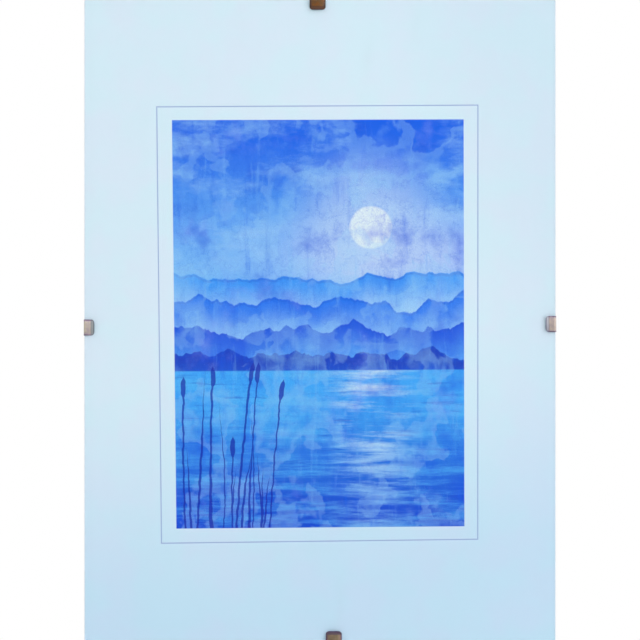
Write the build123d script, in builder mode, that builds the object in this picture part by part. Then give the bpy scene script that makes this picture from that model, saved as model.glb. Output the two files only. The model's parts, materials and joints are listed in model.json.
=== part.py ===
"""Clip frame: a glass pane, a printed sheet and a hardboard back held together by four spring clips.

The pane hangs upright with its front towards -Y. The origin is the point where the wall nail
bears inside the top hanging ring. Millimetres, +Z up.
"""
import os
from math import cos, radians, sin, tan

from build123d import *

# Panel: the glass, the sheet behind it and the board behind that
glass_width = 294.0
glass_height = 400.0
glass_thickness = 2.0
glass_seam = 0.3
glass_corner = 0.8
sheet_thickness = 0.25
sheet_setback = 0.3
board_thickness = 3.0
board_setback = 0.3
board_corner = 0.5

# Slots near the middle of each side of the board, which the clips' tongues drop into
slot_inset = 33.0
slot_length = 30.0
slot_width = 2.4

# Spring clip: one strip of steel, seen from the side as a hook round the panel's edge
clip_width = 10.0
clip_thickness = 0.4
grip_gap = 0.05
edge_gap = 0.05
tab_reach = 6.2
tab_corner = 2.2
crease_reach = 4.1
crease_radius = 0.7
tab_slope = 5.0
flare_slope = 26.0
front_bend_radius = 0.8
rear_bend_radius = 1.0
arm_rise = 1.2
arm_slope = 3.0
arm_bend_radius = 20.0
seat_inset = 38.5
seat_bend_radius = 1.5
finger_slope = 20.0
finger_length = 5.0
tail_width = 7.4
tail_corner = 2.4

# Tongue lanced out of the clip's arm and bent down into the slot
tongue_width = 4.0
tongue_depth = 2.4
tongue_bend_radius = 0.6
lance_gap = 0.1
window_length = 3.8

# How far each clip sits from the middle of its side, along +X or +Z
top_clip_offset = -1.5
bottom_clip_offset = 8.6
left_clip_offset = -4.4
right_clip_offset = -2.2

# Hanger: a wire ring held in a folded strap, riveted to the board
ring_wire_radius = 0.9
ring_wire_sides = 16
ring_height = 11.0
ring_half_angle = 30.0
ring_apex_radius = 2.5
ring_corner_radius = 1.8
ring_joint_gap = 0.3
ring_play = 0.08
strap_thickness = 0.6
strap_width = 8.0
strap_length = 13.0
strap_step = 0.8
strap_corner = 2.4
strap_neck_slope = 50.0
strap_neck_radius = 1.0
fold_gap = 0.05
nail_inset = 55.0

# Hollow rivet through the strap and the board
rivet_reach = 8.4
rivet_bore_radius = 1.2
rivet_shank_radius = 1.7
rivet_head_radius = 2.9
rivet_head_height = 0.6
rivet_flare_radius = 2.6
rivet_flare_height = 0.5
rivet_edge_bevel = 0.25
rivet_play = 0.05
recess_depth = 0.7
recess_play = 0.3

# A cut runs this far past the face it opens
overrun = 1.0

# Depths along Y, with the ring's bar at zero
loop_radius = ring_wire_radius + ring_play + strap_thickness / 2
bar_rise = loop_radius + strap_thickness / 2
board_back = -bar_rise
board_front = board_back - board_thickness
sheet_front = board_front - sheet_thickness
glass_front = sheet_front - glass_thickness
panel_depth = board_back - glass_front

# Heights along Z and half sizes of the panel, with the nail's bearing point at zero
glass_top = nail_inset
glass_middle = glass_top - glass_height / 2
half_width = glass_width / 2
half_height = glass_height / 2
bar_drop = ring_height - ring_wire_radius

# Directions
right = Vector(1, 0, 0)
back = Vector(0, 1, 0)
up = Vector(0, 0, 1)

os.makedirs("parts", exist_ok=True)


def finish(builder, node):
    """Label a finished piece and write it to its own file."""
    builder.part.label = node
    export_step(builder.part, f"parts/{node}.step")


def face_plane(depth):
    """A plane across the panel at a depth, with its normal to the front."""
    return Plane(origin=(0, depth, glass_middle), x_dir=right, z_dir=-back)


def make_glass():
    """Float glass with dubbed corners and seamed edges."""
    with BuildPart() as glass:
        with BuildSketch(face_plane(sheet_front)):
            RectangleRounded(glass_width, glass_height, glass_corner)
        extrude(amount=glass_thickness)
        chamfer(glass.faces().filter_by(Axis.Y).edges(), glass_seam)
    finish(glass, "glass_pane")


def make_sheet():
    """The printed sheet, trimmed a little smaller than the glass."""
    with BuildPart() as sheet:
        with BuildSketch(face_plane(board_front)):
            Rectangle(glass_width - 2 * sheet_setback, glass_height - 2 * sheet_setback)
        extrude(amount=sheet_thickness)
    finish(sheet, "insert_sheet")


def slot_places():
    """Middle of each slot in the panel's plane, with the direction that the slot runs in degrees."""
    return [
        ((0, half_height - slot_inset), 0),
        ((0, slot_inset - half_height), 0),
        ((slot_inset - half_width, 0), 90),
        ((half_width - slot_inset, 0), 90),
    ]


def make_board(rivet_points):
    """Hardboard back with a punched slot near each side and a recessed hole for each rivet."""
    board_width = glass_width - 2 * board_setback
    board_height = glass_height - 2 * board_setback
    with BuildPart() as board:
        with BuildSketch(face_plane(board_back)):
            RectangleRounded(board_width, board_height, board_corner)
        extrude(amount=board_thickness)
        for place, turn in slot_places():
            with BuildSketch(face_plane(board_back)):
                with Locations(place):
                    SlotOverall(slot_length, slot_width, rotation=turn)
            extrude(amount=board_thickness, mode=Mode.SUBTRACT)
        for point in rivet_points:
            hole_plane = Plane(origin=(point.X, board_back, point.Z), x_dir=right, z_dir=-back)
            with BuildSketch(hole_plane):
                Circle(rivet_shank_radius + rivet_play)
            extrude(amount=board_thickness, mode=Mode.SUBTRACT)
            with BuildSketch(hole_plane.offset(board_thickness - recess_depth)):
                Circle(rivet_flare_radius + recess_play)
            extrude(amount=recess_depth, mode=Mode.SUBTRACT)
    finish(board, "backing_board")


def bend_corner(centre, radius, slope_before, slope_after, side):
    """Corner of two lines that a bend of this centre and radius joins.

    The lines rise away from the bend's crest at these slopes, one before it and one after it,
    and the crest points along +v where side is 1 and along -v where side is -1.
    """
    half_turn = radians(slope_before + slope_after) / 2
    lean = radians(slope_after - slope_before) / 2
    reach = radius / cos(half_turn)
    return Vector(centre.X + reach * sin(lean), centre.Y + side * reach * cos(lean))


def clip_path():
    """Centreline of the clip's strip as corners and bend radii, from the flared tip to the finger end.

    The first coordinate runs inwards from the glass's edge, the second from the glass's face
    towards the wall.
    """
    half_strip = clip_thickness / 2
    web = -(edge_gap + half_strip)
    crease = Vector(crease_reach, -(grip_gap + half_strip + crease_radius))
    crease_corner = bend_corner(crease, crease_radius, tab_slope, flare_slope, 1)
    tip_reach = tab_reach - half_strip * sin(radians(flare_slope))
    tip_rise = (tip_reach - crease_corner.X) * tan(radians(flare_slope))
    tip = Vector(tip_reach, crease_corner.Y - tip_rise)
    front_rise = (crease_corner.X - web) * tan(radians(tab_slope))
    front_corner = Vector(web, crease_corner.Y - front_rise)
    land = panel_depth + arm_rise + half_strip
    rear_corner = Vector(web, land)
    seat = Vector(seat_inset, panel_depth + grip_gap + half_strip + seat_bend_radius)
    seat_corner = bend_corner(seat, seat_bend_radius, arm_slope, finger_slope, -1)
    arm_run = (land - seat_corner.Y) / tan(radians(arm_slope))
    arm_corner = Vector(seat_corner.X - arm_run, land)
    finger = Vector(cos(radians(finger_slope)), sin(radians(finger_slope))) * finger_length
    corners = [tip, crease_corner, front_corner, rear_corner, arm_corner, seat_corner, seat_corner + finger]
    radii = [crease_radius, front_bend_radius, rear_bend_radius, arm_bend_radius, seat_bend_radius]
    return corners, radii


def arm_depth_at(reach, corners):
    """Depth of the sloping arm's centreline at a distance from the glass's edge."""
    seat_corner = corners[-2]
    return seat_corner.Y + (seat_corner.X - reach) * tan(radians(arm_slope))


def make_clip(node, edge_point, inward):
    """One spring clip, hooked round the glass's edge at a point of its front face."""
    corners, radii = clip_path()
    side = Plane(origin=edge_point, x_dir=inward, z_dir=inward.cross(back))
    plan = Plane(origin=edge_point, x_dir=inward, z_dir=back)
    tip = corners[0]
    tail = corners[-1]
    taper_start = corners[-3].X
    window_start = slot_inset - tongue_bend_radius
    root = Vector(slot_inset - 2 * tongue_bend_radius, arm_depth_at(slot_inset - 2 * tongue_bend_radius, corners))
    knee = Vector(slot_inset, arm_depth_at(slot_inset, corners))
    toe = Vector(slot_inset, panel_depth - tongue_depth)
    with BuildPart() as clip:
        with BuildSketch(side):
            with BuildLine():
                FilletPolyline(*corners, radius=radii)
            trace(line_width=clip_thickness)
        extrude(amount=clip_width / 2, both=True)
        # The arm's sides taper from the full width at the land to the finger end
        with BuildSketch(plan.offset(panel_depth)):
            with BuildLine():
                Polyline(
                    (taper_start, clip_width / 2),
                    (tail.X + overrun, tail_width / 2),
                    (tail.X + overrun, clip_width),
                    (taper_start, clip_width),
                    close=True,
                )
            make_face()
            mirror(about=Plane.XZ)
        extrude(amount=tail.Y - panel_depth + arm_rise + overrun, mode=Mode.SUBTRACT)
        # The window that the tongue was lanced from, then the tongue
        with BuildSketch(plan.offset(panel_depth)):
            with Locations((window_start + window_length / 2, 0)):
                Rectangle(window_length, tongue_width + 2 * lance_gap)
        extrude(amount=tail.Y - panel_depth + arm_rise + overrun, mode=Mode.SUBTRACT)
        with BuildSketch(side):
            with BuildLine():
                FilletPolyline(root, knee, toe, radius=[tongue_bend_radius])
            trace(line_width=clip_thickness)
        extrude(amount=tongue_width / 2, both=True)
        # The tab's corners, rounded as seen from the front, and the finger's
        with BuildSketch(plan):
            with Locations((tab_reach, clip_width / 2), (tab_reach, -clip_width / 2)):
                Rectangle(2 * tab_corner, 2 * tab_corner)
            round_centre = clip_width / 2 - tab_corner
            with Locations((tab_reach - tab_corner, round_centre), (tab_reach - tab_corner, -round_centre)):
                Circle(tab_corner, mode=Mode.SUBTRACT)
        extrude(amount=tip.Y - overrun, mode=Mode.SUBTRACT)
        tail_point = edge_point + inward * tail.X + back * tail.Y
        short_edges = clip.edges().filter_by(lambda edge: abs(edge.length - clip_thickness) < grip_gap)
        fillet(short_edges.sort_by_distance(tail_point)[:2], tail_corner)
    finish(clip, node)


def make_ring(node, bar, point_way):
    """Triangular wire ring, its bar through the strap's fold and its point along point_way."""
    tan_half = tan(radians(ring_half_angle))
    sharp_height = ring_height + ring_apex_radius * (1 / sin(radians(ring_half_angle)) - 1)
    half_bar = sharp_height * tan_half
    flat = Plane(origin=bar, x_dir=point_way, z_dir=back)
    corners = [
        (0, ring_joint_gap / 2),
        (0, half_bar),
        (sharp_height, 0),
        (0, -half_bar),
        (0, -ring_joint_gap / 2),
    ]
    with BuildPart() as ring:
        with BuildLine(flat) as wire:
            FilletPolyline(*corners, radius=[ring_corner_radius, ring_apex_radius, ring_corner_radius])
        with BuildSketch(Plane(origin=wire.line @ 0, z_dir=wire.line % 0)):
            RegularPolygon(ring_wire_radius, ring_wire_sides)
        sweep(path=wire.line)
    finish(ring, node)


def make_strap(node, bar, point_way):
    """Steel strap folded round the ring's bar, both layers lying back along the board."""
    neck = radians(strap_neck_slope)
    upper = strap_thickness + fold_gap - loop_radius
    loop_end = Vector(-loop_radius * sin(neck), loop_radius * cos(neck))
    neck_run = (loop_end.Y - upper) / tan(neck)
    neck_corner = Vector(loop_end.X - neck_run, upper)
    side = Plane(origin=bar, x_dir=point_way, z_dir=point_way.cross(back))
    flat = Plane(origin=bar + back * board_back - point_way * rivet_reach, x_dir=point_way, z_dir=back)
    with BuildPart() as strap:
        with BuildSketch(side):
            with BuildLine():
                Line((-strap_length, -loop_radius), (0, -loop_radius))
                CenterArc((0, 0), loop_radius, -90, 180 + strap_neck_slope)
                FilletPolyline(
                    loop_end,
                    neck_corner,
                    (strap_step - strap_length, upper),
                    radius=[strap_neck_radius],
                )
            trace(line_width=strap_thickness)
        extrude(amount=strap_width / 2, both=True)
        with BuildSketch(flat):
            Circle(rivet_shank_radius + rivet_play)
        extrude(amount=bar_rise + loop_radius, mode=Mode.SUBTRACT)
        short_edges = strap.edges().filter_by(lambda edge: abs(edge.length - strap_thickness) < fold_gap)
        far_corners = short_edges.filter_by(Axis.Y)
        fillet(far_corners, strap_corner)
    finish(strap, node)


def make_rivet(node, bar, point_way):
    """Hollow rivet, its rolled head on the strap and its flared end in the board's recess."""
    axis_point = bar - point_way * rivet_reach
    section = Plane(origin=axis_point, x_dir=point_way, z_dir=point_way.cross(back))
    head_seat = 3 * strap_thickness / 2 + fold_gap - loop_radius
    head_top = head_seat + rivet_head_height
    flare_seat = recess_depth - bar_rise - board_thickness
    flare_end = flare_seat - rivet_flare_height
    with BuildPart() as rivet:
        with BuildSketch(section) as half:
            with BuildLine():
                Polyline(
                    (rivet_bore_radius, flare_end),
                    (rivet_flare_radius, flare_end),
                    (rivet_flare_radius, flare_seat),
                    (rivet_shank_radius, flare_seat),
                    (rivet_shank_radius, head_seat),
                    (rivet_head_radius, head_seat),
                    (rivet_head_radius, head_top),
                    (rivet_bore_radius, head_top),
                    close=True,
                )
            make_face()
            rims = half.vertices().group_by(Axis.Y)
            chamfer(rims[0] + rims[-1], rivet_edge_bevel)
        revolve(axis=Axis(axis_point, back))
    finish(rivet, node)


# The four clips: where each grips the glass's edge and the way in from there
clips = {
    "clip_top": (Vector(top_clip_offset, glass_front, glass_top), -up),
    "clip_bottom": (Vector(bottom_clip_offset, glass_front, glass_top - glass_height), up),
    "clip_left": (Vector(-half_width, glass_front, glass_middle + left_clip_offset), right),
    "clip_right": (Vector(half_width, glass_front, glass_middle + right_clip_offset), -right),
}

# The two hangers: the middle of each ring's bar and the way the ring points
hangers = {
    "top": (Vector(0, 0, -bar_drop), up),
    "side": (Vector(nail_inset + bar_drop - half_width, 0, glass_middle), -right),
}

make_glass()
make_sheet()
make_board([bar - way * rivet_reach for bar, way in hangers.values()])
for clip_node, (clip_point, clip_way) in clips.items():
    make_clip(clip_node, clip_point, clip_way)
for place_name, (ring_bar, ring_way) in hangers.items():
    make_ring(f"hanger_ring_{place_name}", ring_bar, ring_way)
    make_strap(f"hanger_strap_{place_name}", ring_bar, ring_way)
    make_rivet(f"hanger_rivet_{place_name}", ring_bar, ring_way)
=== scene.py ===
# %% [markdown]
# # A clip frame, from the packed solids to a picture
# This lesson dresses the thirteen solids of a frameless picture holder: a glass pane, a printed
# sheet and a hardboard back, gripped by four spring clips, with two hanging rings behind.
# The solids are loaded first. They say where everything is, and nothing here moves them.

# %% Load the solids and keep their box
import json
import math
import random

import bmesh
import bpy
from mathutils import Matrix, Vector


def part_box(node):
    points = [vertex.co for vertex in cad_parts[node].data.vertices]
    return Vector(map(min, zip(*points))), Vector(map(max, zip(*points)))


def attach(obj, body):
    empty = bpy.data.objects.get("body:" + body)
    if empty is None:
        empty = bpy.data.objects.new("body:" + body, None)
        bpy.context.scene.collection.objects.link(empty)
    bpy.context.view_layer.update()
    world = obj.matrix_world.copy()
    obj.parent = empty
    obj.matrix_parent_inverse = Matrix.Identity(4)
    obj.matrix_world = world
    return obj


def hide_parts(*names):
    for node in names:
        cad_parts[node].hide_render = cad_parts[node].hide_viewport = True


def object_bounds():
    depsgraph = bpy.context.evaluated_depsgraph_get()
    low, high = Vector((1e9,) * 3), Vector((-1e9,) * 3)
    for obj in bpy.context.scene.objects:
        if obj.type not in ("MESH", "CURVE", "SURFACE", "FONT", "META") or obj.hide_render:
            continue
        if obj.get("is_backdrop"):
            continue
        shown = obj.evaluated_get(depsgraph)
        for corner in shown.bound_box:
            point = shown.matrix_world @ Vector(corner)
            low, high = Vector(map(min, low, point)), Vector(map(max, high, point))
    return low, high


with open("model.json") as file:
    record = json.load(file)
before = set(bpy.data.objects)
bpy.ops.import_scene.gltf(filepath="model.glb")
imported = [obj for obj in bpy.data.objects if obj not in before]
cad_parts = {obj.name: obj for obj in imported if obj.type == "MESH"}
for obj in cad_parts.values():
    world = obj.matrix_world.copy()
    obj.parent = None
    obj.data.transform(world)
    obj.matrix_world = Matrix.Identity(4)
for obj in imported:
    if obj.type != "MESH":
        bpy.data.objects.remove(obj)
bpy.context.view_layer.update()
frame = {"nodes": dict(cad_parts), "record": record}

print("nodes:", ", ".join(sorted(frame["nodes"])))

# %% [markdown]
# Blender works in metres and a frame maker in millimetres, so a unit keeps the sizes readable.
# Colours are easiest to judge as the 0 to 255 values of a screen, but shaders add and multiply
# light, so `paint` turns such a colour into the linear one that a socket wants.

# %% Units and colours
MM = 0.001


def linear(level):
    """Linear light of a screen level from 0 to 255."""
    share = level / 255
    return share / 12.92 if share <= 0.04045 else ((share + 0.055) / 1.055) ** 2.4


def paint(red, green, blue):
    """A screen colour as the linear colour of a shader's socket."""
    return (linear(red), linear(green), linear(blue), 1.0)


print("mid grey in linear light:", [round(part, 3) for part in paint(128, 128, 128)])

# %% [markdown]
# Every place below is read from the solids, so this file follows when they change. The glass
# gives the panel's middle and the plane that the camera measures.

# %% Where the panel is
glass_low, glass_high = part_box("glass_pane")
board_low, board_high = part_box("backing_board")
sheet_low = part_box("insert_sheet")[0]
middle = (glass_low + glass_high) / 2
glass_front = glass_low.y
panel_depth = board_high.y - glass_front
print("panel depth in mm:", round(panel_depth / MM, 3))

# %% [markdown]
# ## The camera
# The photograph is taken square on from far away, so hardly any perspective shows. A long lens
# three metres off does the same. The view is as wide as the photograph, which is a little less
# than the pane's height, and it is aimed a hair above the pane's middle, as the photograph is.

# %% Camera
VIEW_WIDTH = 399.4 * MM
LENS = 270.0
SENSOR = 36.0
AIM_LIFT = 0.3 * MM


def add_object(name, data):
    """A new object in the scene that shows this data."""
    made = bpy.data.objects.new(name, data)
    bpy.context.scene.collection.objects.link(made)
    return made


camera_data = bpy.data.cameras.new("camera")
camera_data.lens = LENS
camera_data.sensor_width = SENSOR
camera = add_object("camera", camera_data)
camera_distance = VIEW_WIDTH * LENS / SENSOR
camera.location = (middle.x, glass_front - camera_distance, middle.z + AIM_LIFT)
camera.rotation_euler = (math.pi / 2, 0, 0)
bpy.context.scene.camera = camera
print("camera distance in m:", round(camera_distance, 3))

# %% [markdown]
# ## Wiring nodes
# Materials and Geometry Nodes trees are both graphs of nodes. This small class adds a node,
# feeds its inputs with numbers or with other nodes' outputs, and hands back the output, so that
# a graph reads like a sum. Sums, noises, ramps and blends come up in every material, so each has
# a short name of its own.


# %% A helper that wires nodes
class Wires:
    """Adds nodes to one tree. An input may be a plain value or another node's output."""

    def __init__(self, tree):
        self.tree = tree

    def node(self, kind, inputs=(), **settings):
        """A new node with its settings, and its inputs fed in order or by name."""
        made = self.tree.nodes.new(kind)
        for name, value in settings.items():
            setattr(made, name, value)
        pairs = inputs.items() if isinstance(inputs, dict) else enumerate(inputs)
        for key, value in pairs:
            self.feed(made.inputs[key], value)
        return made

    def out(self, kind, inputs=(), **settings):
        """The first output of a new node."""
        return self.node(kind, inputs, **settings).outputs[0]

    def feed(self, socket, value):
        """Link an output to a socket, or set the socket's own value."""
        if isinstance(value, bpy.types.NodeSocket):
            self.tree.links.new(value, socket)
        else:
            socket.default_value = value

    def maths(self, operation, *values):
        """One sum of numbers."""
        return self.out("ShaderNodeMath", values, operation=operation)

    def times(self, first, second):
        """Two numbers multiplied."""
        return self.maths("MULTIPLY", first, second)

    def less(self, first, second):
        """The first number less the second."""
        return self.maths("SUBTRACT", first, second)

    def apart(self, first, second):
        """How far two numbers lie apart."""
        return self.maths("ABSOLUTE", self.less(first, second))

    def line(self, value, slope, start):
        """A straight line: the value times the slope, plus the start."""
        return self.maths("MULTIPLY_ADD", value, slope, start)

    def vector(self, operation, *values):
        """One sum of vectors."""
        return self.out("ShaderNodeVectorMath", values, operation=operation)

    def stretched(self, place, *shares):
        """A place with its parts multiplied. A small share draws a pattern out that way."""
        return self.vector("MULTIPLY", place, shares)

    def parts(self, vector):
        """The three parts of a vector."""
        return self.node("ShaderNodeSeparateXYZ", (vector,)).outputs[:]

    def joined(self, *parts):
        """A vector from its parts."""
        return self.out("ShaderNodeCombineXYZ", parts)

    def step(self, value, low, high, start=0.0, end=1.0):
        """Goes smoothly from start to end as the value goes from low to high."""
        limits = (value, low, high, start, end)
        return self.out("ShaderNodeMapRange", limits, interpolation_type="SMOOTHSTEP")

    def noise(self, place, scale, detail=2.0, roughness=0.5):
        """Cloudy noise from 0 to 1, with the scale in features per metre of the place."""
        fed = {"Vector": place, "Scale": scale, "Detail": detail, "Roughness": roughness}
        return self.out("ShaderNodeTexNoise", fed)

    def blend(self, factor, first, second, way="MIX"):
        """Colour between two colours, or another way of laying the second on the first."""
        fed = {0: factor, 6: first, 7: second}
        return self.node("ShaderNodeMix", fed, data_type="RGBA", blend_type=way).outputs[2]

    def stain(self, colour, tint, value, low, high, most=1.0):
        """Lays a tint on a colour, from none to the most as the value goes from low to high."""
        return self.blend(self.step(value, low, high, 0.0, most), colour, tint)

    def mixed(self, share, first, second):
        """The first shader where the share is 0, the second where it is 1."""
        return self.out("ShaderNodeMixShader", (share, first, second))


print("wiring helper ready, with", ", ".join(word for word in vars(Wires) if word[0] != "_"))

# %% [markdown]
# Every finish below starts from an empty material. Its pattern is laid out on Object coordinates.
# Because every piece stands at the origin, these are metres in the frame's own axes, so a pattern
# has its real size and stays on its piece when the piece moves.


# %% An empty material, and where a point lies
def new_material(name):
    """An empty material with its wires and the socket that takes its surface."""
    material = bpy.data.materials.new(name)
    material.use_nodes = True
    material.node_tree.nodes.clear()
    wires = Wires(material.node_tree)
    return material, wires, wires.node("ShaderNodeOutputMaterial").inputs["Surface"]


def object_place(wires):
    """Object coordinates of the piece that wears the material."""
    return wires.node("ShaderNodeTexCoord").outputs["Object"]


print("materials so far:", len(bpy.data.materials))

# %% [markdown]
# ## Floor, light and background
# The frame hangs with its middle at eye height above a plain pale floor. The background is the
# world itself, white wherever the camera, a mirror or clear glass looks at it, and the floor is
# helped towards its own pale colour in the same way. From below the floor isn't there.


# %% Helpers for the stage
def flat_card(name, half_x, half_y, place, facing):
    """A rectangle of the stage, turned to face a direction."""
    mesh = bpy.data.meshes.new(name)
    corners = [(-half_x, -half_y, 0), (half_x, -half_y, 0), (half_x, half_y, 0), (-half_x, half_y, 0)]
    mesh.from_pydata(corners, [], [(0, 1, 2, 3)])
    flat = add_object(name, mesh)
    flat.location = place
    flat.rotation_mode = "QUATERNION"
    flat.rotation_quaternion = Vector(facing).to_track_quat("Z", "Y")
    flat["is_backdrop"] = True
    return flat


def sharp_ray(wires):
    """1 for what the camera, a mirror or clear glass sees, 0 for the gathering of plain light."""
    ray = wires.node("ShaderNodeLightPath").outputs
    seen = wires.maths("MAXIMUM", ray["Is Camera Ray"], ray["Is Glossy Ray"])
    return wires.maths("MAXIMUM", seen, ray["Is Transmission Ray"])


print("stage helpers ready")

# %% Floor
HANGING_HEIGHT = 1500 * MM
FLOOR_HALF = 10.0
FLOOR_HELP = 0.7
PLAIN_WHITE = (1, 1, 1, 1)

floor_place = (middle.x, middle.y, middle.z - HANGING_HEIGHT)
floor = flat_card("floor", FLOOR_HALF, FLOOR_HALF, floor_place, (0, 0, 1))
floor_paint, wires, surface = new_material("pale_floor")
floor_cloud = wires.noise(object_place(wires), 1.5, 3.0)
floor_tone = wires.blend(floor_cloud, paint(226, 226, 224), paint(234, 234, 233))
floor_skin = wires.out("ShaderNodeBsdfPrincipled", {"Base Color": floor_tone, "Roughness": 0.7})
floor_glow = wires.out("ShaderNodeEmission", {"Color": floor_tone, "Strength": 1.0})
floor_top = wires.mixed(wires.times(sharp_ray(wires), FLOOR_HELP), floor_skin, floor_glow)
from_below = wires.node("ShaderNodeNewGeometry").outputs["Backfacing"]
no_floor = wires.out("ShaderNodeBsdfTransparent", {"Color": PLAIN_WHITE})
wires.feed(surface, wires.mixed(from_below, floor_top, no_floor))
floor.data.materials.append(floor_paint)
print("floor at", round(floor.location.z, 3), "m")

# %% [markdown]
# Glass in front of a dark room shows no glare. So a dark card stands behind the camera, which only
# mirror reflections can see, as a product photographer hangs one.

# %% Dark card
CARD_HALVES = (0.34, 0.6)
CARD_SETBACK = 0.4

card_place = camera.location - Vector((0, CARD_SETBACK, 0))
card = flat_card("dark_card", *CARD_HALVES, card_place, (0, 1, 0))
card_paint, wires, surface = new_material("dark_card")
wires.feed(surface, wires.out("ShaderNodeBsdfDiffuse", {"Color": paint(16, 16, 18)}))
card.data.materials.append(card_paint)
card.visible_camera = False
card.visible_diffuse = False
card.visible_shadow = False
card.visible_transmission = False
print("card at", round(card.location.y, 3), "m, behind the camera at", round(camera.location.y, 3), "m")

# %% [markdown]
# For plain light the world is dim at the sides, brighter behind, and brightest in a narrow patch
# straight in front, so that what shade a clip throws falls mostly behind the clip itself. A large
# lamp from the right in front and another from behind add the rest, so that a colour renders about
# as it is written.

# %% World
SIDE_LIGHT = 0.53
REAR_LIGHT = 0.56
REAR_FOCUS = 2.0
FRONT_LIGHT = 8.1
FRONT_FOCUS = 60.0

world = bpy.data.worlds.new("studio")
world.use_nodes = True
world.node_tree.nodes.clear()
wires = Wires(world.node_tree)
depth_way = wires.parts(wires.node("ShaderNodeTexCoord").outputs["Generated"])[1]
behind = wires.maths("POWER", wires.maths("MAXIMUM", depth_way, 0.0), REAR_FOCUS)
frontwards = wires.maths("MAXIMUM", wires.times(depth_way, -1.0), 0.0)
in_front = wires.maths("POWER", frontwards, FRONT_FOCUS)
sky_light = wires.line(behind, REAR_LIGHT, SIDE_LIGHT)
sky_light = wires.line(in_front, FRONT_LIGHT, sky_light)
soft_sky = wires.out("ShaderNodeBackground", {"Color": PLAIN_WHITE, "Strength": sky_light})
white_sky = wires.out("ShaderNodeBackground", {"Color": PLAIN_WHITE, "Strength": 1.0})
wires.node("ShaderNodeOutputWorld", (wires.mixed(sharp_ray(wires), soft_sky, white_sky),))
bpy.context.scene.world = world
print("plain light from the sides:", SIDE_LIGHT, "and from behind:", round(SIDE_LIGHT + REAR_LIGHT, 2))

# %% Lamps
LAMP_SIZE = 2.0
KEY_POWER = 20.0
KEY_PLACE = Vector((1.35, -2.3, 0.4))
BACK_POWER = 30.0
BACK_PLACE = Vector((0.9, 1.9, 1.0))


def soft_lamp(name, place, power):
    """A large square lamp at a place beside the panel's middle, aimed at the middle."""
    lamp_data = bpy.data.lights.new(name, "AREA")
    lamp_data.size = LAMP_SIZE
    lamp_data.energy = power
    lamp = add_object(name, lamp_data)
    lamp.location = middle + place
    lamp.rotation_mode = "QUATERNION"
    lamp.rotation_quaternion = (-place).to_track_quat("-Z", "Y")


soft_lamp("key_lamp", KEY_PLACE, KEY_POWER)
soft_lamp("back_lamp", BACK_PLACE, BACK_POWER)
bpy.context.scene.view_settings.view_transform = "Standard"

# %% [markdown]
# ## Placing pieces
# A finished piece stands at the origin with its place in its mesh. It rides on a body of the
# model, stands in for a solid, which it hides, and takes the finishes it is given. `place_piece`
# does all of it, and turns a mesh whose faces point inwards the right way round.

# %% Helpers for meshes
WELD_DISTANCE = 0.001 * MM
FLAT_ANGLE = math.radians(0.5)


def merged_solid(node):
    """A copy of a solid's mesh with its loose triangles joined and its flat faces whole again."""
    shape = bmesh.new()
    shape.from_mesh(frame["nodes"][node].data)
    bmesh.ops.remove_doubles(shape, verts=shape.verts, dist=WELD_DISTANCE)
    bmesh.ops.dissolve_limit(shape, angle_limit=FLAT_ANGLE, verts=shape.verts, edges=shape.edges)
    bmesh.ops.recalc_face_normals(shape, faces=shape.faces)
    return shape


def plain_mesh(name, shape):
    """A mesh from a bmesh, which it uses up."""
    mesh = bpy.data.meshes.new(name)
    shape.to_mesh(mesh)
    shape.free()
    return mesh


def place_piece(name, shape, node, body, materials):
    """A piece of the frame made from a bmesh, which it uses up."""
    if shape.calc_volume(signed=True) < 0:
        bmesh.ops.reverse_faces(shape, faces=shape.faces)
    volume = shape.calc_volume(signed=True)
    mesh = plain_mesh(name, shape)
    for material in materials:
        mesh.materials.append(material)
    piece = add_object(name, mesh)
    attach(piece, body)
    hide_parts(node)
    print(f"{name}: {len(mesh.polygons)} faces, {volume / MM**3:.1f} cubic mm")
    return piece


print("solids to dress:", len(frame["nodes"]))

# %% [markdown]
# ## The glass pane
# Float glass of 2 mm has two clear faces and a rim that the cutter grinds: a flat edge and a
# narrow seam each side. The faces are made as a window, not as a lens: a Transparent shader that
# lets the lamps through to the print, with a mirror mixed in by Fresnel, so that the glass shines
# more the flatter it is looked along. The Fresnel node turns its index over on a face met from
# inside, as it should where rays bend. Here they go straight on, so the far face gets the index
# turned over once more and mirrors like the near one, instead of going blind when seen aslant.
# Light on its way to the print skips the mirror, because what two real faces throw back between
# them mostly reaches the print in the end.
# The rim is frosted, green where it is looked into, but light still gets through it to the sheet's
# border, so its lighting rays pass with a green tint. Each Light Path output has a Mix Shader of its
# own there, which leaves the rim a solid surface to everything else. A faint veil of wiping marks
# keeps the pane from being perfectly nothing.

# %% Clear glass
PANE_INDEX = 1.4
PANE_TINT = (0.992, 1.0, 0.996, 1)
PANE_POLISH = 0.03
VEIL_MOST = 0.012
pane_clear, wires, surface = new_material("clear_pane")
place = object_place(wires)
from_inside = wires.node("ShaderNodeNewGeometry").outputs["Backfacing"]
index = wires.line(from_inside, 1 / PANE_INDEX - PANE_INDEX, PANE_INDEX)
mirror_share = wires.out("ShaderNodeFresnel", {"IOR": index})
let_through = wires.out("ShaderNodeBsdfTransparent", {"Color": PANE_TINT})
mirror = wires.out("ShaderNodeBsdfAnisotropic", {"Color": PLAIN_WHITE, "Roughness": PANE_POLISH})
window = wires.mixed(mirror_share, let_through, mirror)
wipe_marks = wires.noise(wires.stretched(place, 6.0, 1.0, 1.6), 9.0, 5.0, 0.62)
veil = wires.out("ShaderNodeBsdfDiffuse", {"Color": paint(235, 238, 240)})
wiped = wires.mixed(wires.step(wipe_marks, 0.55, 0.85, 0.0, VEIL_MOST), window, veil)
ray = wires.node("ShaderNodeLightPath").outputs
lighting_ray = wires.maths("MAXIMUM", ray["Is Shadow Ray"], ray["Is Diffuse Ray"])
wires.feed(surface, wires.mixed(lighting_ray, wiped, let_through))
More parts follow.
